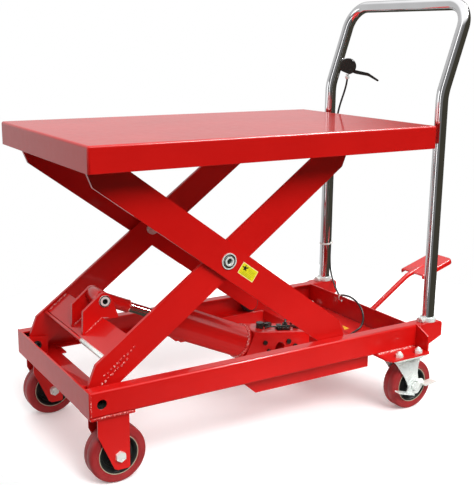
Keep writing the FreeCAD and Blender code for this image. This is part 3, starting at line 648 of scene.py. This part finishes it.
def make_swivel_fork(side, sign):
    """Pressed steel fork with rounded shoulders and a rib down each cheek, on its lower race."""
    body = f"{side}_swivel"
    axle_x, y = REAR_AXLE[0], REAR_AXLE[1] * sign
    columns = 14
    points = []
    faces = []
    for j, (across, z) in enumerate(fork_outline()):
        fore, aft = fork_edges(min(z, FORK_CROWN))
        for i in range(columns + 1):
            share = i / columns
            points.append(at(fore + (aft - fore) * share, y + across + fork_rib(across, z, share), z))
        if j:
            for i in range(columns):
                a = (j - 1) * (columns + 1) + i
                faces.append((a, a + 1, a + columns + 2, a + columns + 1))
    shell = mesh_piece(f"{body}_fork", points, faces, body, "zinc", sharp=50)
    skin = shell.modifiers.new("sheet", "SOLIDIFY")
    skin.thickness = 0.0028
    skin.offset = 1.0 if sheet_faces_in(shell, at(SWIVEL_X, y, 90)) else -1.0
    rim = shell.modifiers.new("edge", "BEVEL")
    rim.width = 0.0006
    rim.segments = 2
    rim.limit_method = "ANGLE"
    rim.angle_limit = math.radians(60)
    race = rounded_profile([(0, 9, 0), (0, 33, 1.5), (4.4, 33, 1.5), (4.4, 9, 0)])
    lathe(f"{body}_race", race, at(SWIVEL_X, y, FORK_CROWN - 0.1), (0, 0, 1), body, "zinc")
    shank = [(-35, 0.2), (-35, 5.0), (-34.4, 5.9), (25, 5.9), (25, 0.2)]
    lathe(f"{body}_axle", shank, at(axle_x, y, AXLE_HEIGHT), (0, sign, 0), body, "zinc", steps=32)
    for facing, label, height in ((sign, "out", 6.9), (-sign, "in", 7.8)):
        seat = at(axle_x, y + (CHEEK_OUTSIDE + 0.1) * facing, AXLE_HEIGHT)
        hex_nut(f"{body}_nut_{label}", seat, (0, facing, 0), 18.8, height, body)
    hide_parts(f"{side}_swivel_fork")


def sheet_faces_in(piece, middle):
    """Whether the first cheek's faces point to the middle of the fork."""
    face = piece.data.polygons[0]
    return face.normal.dot(middle - face.center) > 0


# ---- cable ------------------------------------------------------------------------------------------

CABLE_POINTS = (
    (903.4, 182.1, 752), (903.4, 182.1, 738), (888, 197.5, 668), (887, 204, 600), (886, 206, 500),
    (886.5, 205, 308), (886.5, 206, 266), (887, 204, 240), (886, 196, 219), (881, 177, 200),
    (871, 152, 188), (856, 121, 183), (840, 92, 186), (827, 74, 198), (812.7, 54, 206.6),
    (807, 33, 212), (802, 4, 215.8), (798, -24, 212), (794, -48, 201), (790, -62, 186),
    (784, -68, 172), (773, -72, 161), (755, -77, 158), (724, -94, 158), (699.3, -107, 158),
    (684.3, -106.7, 158), (671.4, -99.1, 158), (664, -86, 158), (664, -66, 158),
)


def make_cable():
    """Control cable from the release lever to its stop beside the pump."""
    curve = bpy.data.curves.new("control_cable", "CURVE")
    curve.dimensions = "3D"
    curve.bevel_depth = 0.0025
    curve.bevel_resolution = 6
    curve.resolution_u = 12
    curve.use_fill_caps = True
    spline = curve.splines.new("NURBS")
    spline.points.add(len(CABLE_POINTS) - 1)
    for point, place in zip(spline.points, CABLE_POINTS):
        point.co = (*at(*place), 1.0)
    spline.order_u = 3
    spline.use_endpoint_u = True
    cable = bpy.data.objects.new("control_cable", curve)
    SCENE.collection.objects.link(cable)
    finish_piece(cable, "root", "cable_casing")
    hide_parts("release_cable")


# ---- labels and pins --------------------------------------------------------------------------------

ARM_TURN = math.radians(36.348)
ARM_CENTRE = (323.8, 413.5)
LUG_PIN = (114.0, 320.0)
PUMP_PIVOT = (548.0, 122.0)


def on_middle_plane(place):
    """A place in the middle plane from its (x, z) in millimetres."""
    return at(place[0], 0.0, place[1])


def on_outer_arm(u, v, y):
    """A place from the outer arm's own frame: along it, towards its upper edge, and across."""
    x = ARM_CENTRE[0] + u * math.cos(ARM_TURN) + v * math.sin(ARM_TURN)
    z = ARM_CENTRE[1] - u * math.sin(ARM_TURN) + v * math.cos(ARM_TURN)
    return at(x, y, z)


def on_inner_arm(u, v, y):
    """The same for the inner arm, which slants the other way."""
    x = ARM_CENTRE[0] + u * math.cos(ARM_TURN) - v * math.sin(ARM_TURN)
    z = ARM_CENTRE[1] + u * math.sin(ARM_TURN) + v * math.cos(ARM_TURN)
    return at(x, y, z)


ARM_FACE = -186.05


def arm_patch(name, corners, depth, material):
    """A thin printed patch on the near outer arm, from corners in the arm's frame."""
    count = len(corners)
    points = [on_outer_arm(u, v, y) for y in (ARM_FACE, ARM_FACE - depth) for u, v in corners]
    faces = [tuple(range(count)), tuple(reversed(range(count, 2 * count)))]
    for i in range(count):
        j = (i + 1) % count
        faces.append((i, count + i, count + j, j))
    piece = mesh_piece(name, points, faces, "outer_arms", "tie_nylon", material, smooth=False)
    bevel = piece.modifiers.new("edge", "BEVEL")
    bevel.width = 0.00008
    return piece


def rectangle(u0, u1, v0, v1, radius=1.2, steps=4):
    """Corners of a rectangle with rounded corners."""
    corners = [(u0, v0, radius), (u1, v0, radius), (u1, v1, radius), (u0, v1, radius)]
    return [tuple(point) for point in rounded_profile(corners, steps)]


# Printed bars: their ends along the arm and their middle line.
LABEL_BARS = ((53, 72, 9.0), (53, 70, 6.2), (53, 72.5, 3.4), (42, 71, -0.2), (42, 68, -3.0), (38, 70, -5.8))
SPLAT_MIDDLE = (43.4, 7.4)
SPLAT_TIPS = (7.8, 6.2, 7.4, 6.0, 6.9)
SPLAT_WAIST = 3.4
TRAY_PATCH_FLOOR, TRAY_PATCH_TOP = 153.55, 153.75


def splat():
    """Corners of a blunt five-pointed splat of uneven reach."""
    corners = []
    tips = len(SPLAT_TIPS)
    for k in range(2 * tips):
        reach = SPLAT_WAIST if k % 2 else SPLAT_TIPS[k // 2]
        for offset in (-0.16, 0.16):
            turn = 2 * math.pi * k / (2 * tips) + 0.55 + offset
            u, v = reach * math.cos(turn), reach * math.sin(turn)
            corners.append((SPLAT_MIDDLE[0] + u, SPLAT_MIDDLE[1] + v))
    return corners


def make_labels():
    """Patches without lettering: a rimmed yellow panel with a splat, a dot and bars, and a tray triangle."""
    arm_patch("arm_label_rim", rectangle(32.0, 77.0, -9.2, 16.6), 0.12, "label_rim")
    arm_patch("arm_label_panel", rectangle(33.2, 75.8, -8.0, 15.4, 0.8), 0.18, "label")
    arm_patch("arm_label_emblem", splat(), 0.26, "label_print")
    arm_patch("arm_label_dot", rectangle(36.4, 39.4, -3.2, -0.6, 0.5, 2), 0.24, "label_amber")
    for k, (u0, u1, v) in enumerate(LABEL_BARS):
        arm_patch(f"arm_label_bar_{k}", rectangle(u0, u1, v - 0.4, v + 0.4, 0.3, 2), 0.22, "label_bar")
    corners = ((759.8, -18.0), (743.2, -47.4), (760.3, -44.9))
    points = [at(x, y, z) for z in (TRAY_PATCH_FLOOR, TRAY_PATCH_TOP) for x, y in corners]
    faces = [(2, 1, 0), (3, 4, 5), (0, 1, 4, 3), (1, 2, 5, 4), (2, 0, 3, 5)]
    mesh_piece("tray_patch", points, faces, "root", "tie_nylon", "label_amber", smooth=False)


# Turned details of the pins' ends, as (distance from the middle plane, radius).
CENTRE_PIN_DETAILS = (
    ("dish", ((187.42, 12.1), (187.42, 14.4), (187.6, 14.4), (187.6, 12.1))),
    ("clip", ((189.0, 10.2), (189.0, 11.9), (189.25, 11.7), (189.25, 10.4))),
    ("hollow", ((184.0, 0.2), (184.0, 6.45), (184.5, 6.45), (185.6, 5.0), (185.9, 0.2))),
)
LUG_PIN_DETAILS = (
    ("well", ((28.0, 0.2), (28.0, 5.95), (38.6, 5.95), (38.6, 5.4), (30.5, 5.4), (30.2, 0.2))),
    ("ring", ((37.5, 10.2), (37.5, 12.3), (37.8, 12.1), (37.8, 10.4))),
)


def make_pin_details():
    """Dark dishes, clips and hollows in the ends of the pins."""
    for side, sign in SIDES:
        for pin, place, details in (
            ("centre_pin", ARM_CENTRE, CENTRE_PIN_DETAILS),
            ("lug_pin", LUG_PIN, LUG_PIN_DETAILS),
        ):
            for label, profile in details:
                name = f"{side}_{pin}_{label}"
                middle = on_middle_plane(place)
                lathe(name, profile, middle, (0, sign, 0), "inner_arms", "black_fittings", "pin_steel", 48)


# ---- welds ------------------------------------------------------------------------------------------

# Welds on each side: name, start and end (x, y outwards, z), body, facing (y outwards) and width.
ARM_SLANT = (-0.6, 0, 0.8)
SIDE_WELDS = (
    ("lug_weld_0", (68, 26.4, 256.6), (107, 26.4, 285.6), "inner_arms", ARM_SLANT, 5.5),
    ("lug_weld_1", (68, 35.6, 256.6), (107, 35.6, 285.6), "inner_arms", ARM_SLANT, 5.5),
    ("plate_weld", (63, 167.2, 252.8), (106, 167.2, 285), "inner_arms", ARM_SLANT, 6),
    ("rail_corner_weld", (6.2, 213.8, 152), (6.2, 213.8, 202), "root", (-0.5, 0.8, 0), 4.5),
    ("fork_weld", (8, 215.2, 149.6), (94, 215.2, 149.6), "root", (0, 0.7, -0.7), 7),
    ("fork_end_weld", (97, 214, 149.4), (97, 192, 149.4), "root", (0.7, 0, -0.7), 6),
    ("caster_weld", (708, 215.4, 150.8), (820, 215.4, 150.8), "root", (0, 0.7, 0.7), 5.5),
    ("gusset_weld", (826.4, 215.5, 152), (826.4, 215.5, 200), "root", (-0.7, 0.7, 0), 4),
    ("pivot_plate_weld", (10, 159.6, 154.2), (53, 159.6, 154.2), "root", (0, -0.7, 0.7), 5),
    ("crown_weld", (22, 162.6, 142.2), (84, 162.6, 142.2), "root", (0, -0.7, -0.7), 5),
    ("guard_weld", (405, 188.2, 149.7), (698, 188.2, 149.7), "root", (0, 0.7, -0.7), 4.5),
    ("socket_weld", (829, 222.3, 152), (829, 222.3, 201), "root", (-0.7, 0.7, 0), 4),
)
PLUG_WELD_ROWS = ((-362.0, -6.0), (-338.0, 3.0))
PLUG_WELD_COUNT = 10
PLUG_WELD_STEP = 8.6
INNER_ARM_FACE = -176.2


def make_welds():
    """Beads along the joints of the base and arms, a plug weld on the near arm, and rings on the cylinder."""
    seed = 1
    for side, sign in SIDES:
        for name, start, end, body, facing, width in SIDE_WELDS:
            first, last, normal = ((x, y * sign, z) for x, y, z in (start, end, facing))
            weld_bead(f"{side}_{name}", at(*first), at(*last), body, normal, width, seed)
            seed += 1
    rng = random.Random(7)
    for row, (first, v) in enumerate(PLUG_WELD_ROWS):
        for k in range(PLUG_WELD_COUNT):
            u = first + k * PLUG_WELD_STEP
            start = on_inner_arm(u, v + rng.uniform(-1.4, 1.4), INNER_ARM_FACE)
            end = on_inner_arm(u + rng.uniform(4.0, 7.4), v + rng.uniform(-1.4, 1.4), INNER_ARM_FACE)
            weld_bead(f"plug_weld_{row}_{k}", start, end, "inner_arms", (0, -1, 0), 4.6, 40 + 20 * row + k)
    weld_ring("cylinder_foot_weld", 384.5, 38.4, 3.2, "cylinder", 60)
    weld_ring("cylinder_head_weld", 170.0, 36.8, 2.0, "cylinder", 61)
    weld_ring("rod_end_weld", 73.6, 12.6, 2.2, "rod", 62)


def weld_ring(name, along, radius, size, body, seed):
    """A rippled bead round the cylinder's axis, by distance from the lug pin."""
    rng = random.Random(seed)
    pin = on_middle_plane(LUG_PIN)
    axis = (on_middle_plane(PUMP_PIVOT) - pin).normalized()
    side = Vector((0, 1, 0))
    up = axis.cross(side)
    centre = pin + axis * (along * MM)
    steps = 168
    waves = 21
    around = 10
    points = []
    for i in range(steps):
        turn = 2 * math.pi * i / steps
        spoke = side * math.cos(turn) + up * math.sin(turn)
        ripple = abs(math.sin(turn * waves))
        swell = size * (0.84 + 0.16 * ripple) * (1 + rng.uniform(-0.05, 0.05))
        for k in range(around):
            small = 2 * math.pi * k / around
            offset = spoke * (math.cos(small) * swell * MM) + axis * (math.sin(small) * swell * MM)
            points.append(centre + spoke * (radius * MM) + offset)
    return mesh_piece(name, points, closed_faces(steps, around), body, "red_paint", "weld", sharp=60)


# ---- springs and pipes ------------------------------------------------------------------------------

# Springs: name, start, end, coil radius, wire radius, turns and body.
SPRINGS = (
    ("pedal_spring_a", (672, -9.2, 136), (672, -14.6, 136), 7.8, 0.9, 5, "root"),
    ("pump_spring", (560, -20, 180), (596, -20, 174.5), 4.8, 0.9, 14, "cylinder"),
    ("pump_relief_spring", (536, 14, 184), (566, 16, 180), 4.2, 0.8, 12, "cylinder"),
)
# Bent rods and pipes on the pump: name, radius and route.
PIPES = (
    (
        "pump_link", 2.2,
        ((528, -14, 184.5), (540, -19, 188), (560, -20, 185), (596, -18, 180), (622, -10, 172)),
    ),
    (
        "pump_pipe", 2.8,
        ((600, 6, 181), (606, 10, 188), (618, 18, 187), (630, 24, 176), (634, 27, 164)),
    ),
)


def coil_spring(name, start, end, radius, wire, turns, body):
    """A close coil of wire between two places."""
    axis = (end - start).normalized()
    side = axis.orthogonal().normalized()
    other = axis.cross(side)
    steps = 16
    path = []
    for i in range(turns * steps + 1):
        turn = 2 * math.pi * i / steps
        spoke = side * math.cos(turn) + other * math.sin(turn)
        path.append(start.lerp(end, i / (turns * steps)) + spoke * (radius * MM))
    rod(name, path, wire * MM, body, "black_fittings", 8)


def make_springs_and_pipes():
    """Pedal return spring and the pump's springs, link and pipe, which the solids leave out."""
    for name, start, end, radius, wire, turns, body in SPRINGS:
        coil_spring(name, at(*start), at(*end), radius, wire, turns, body)
    for name, radius, route in PIPES:
        rod(name, [at(*place) for place in route], radius * MM, "cylinder", "black_fittings", 12)


make_materials()
make_camera()
SCENE.view_settings.view_transform = "Standard"
make_world()
make_lights()
make_floor()
dress_cad_nodes()
make_handle()
for side, sign in SIDES:
    make_wheel(side, "front", FRONT_AXLE[0], FRONT_AXLE[1] * sign)
    make_wheel(side, "rear", REAR_AXLE[0], REAR_AXLE[1] * sign)
    make_swivel_fork(side, sign)
make_cable()
make_labels()
make_pin_details()
make_welds()
make_springs_and_pipes()
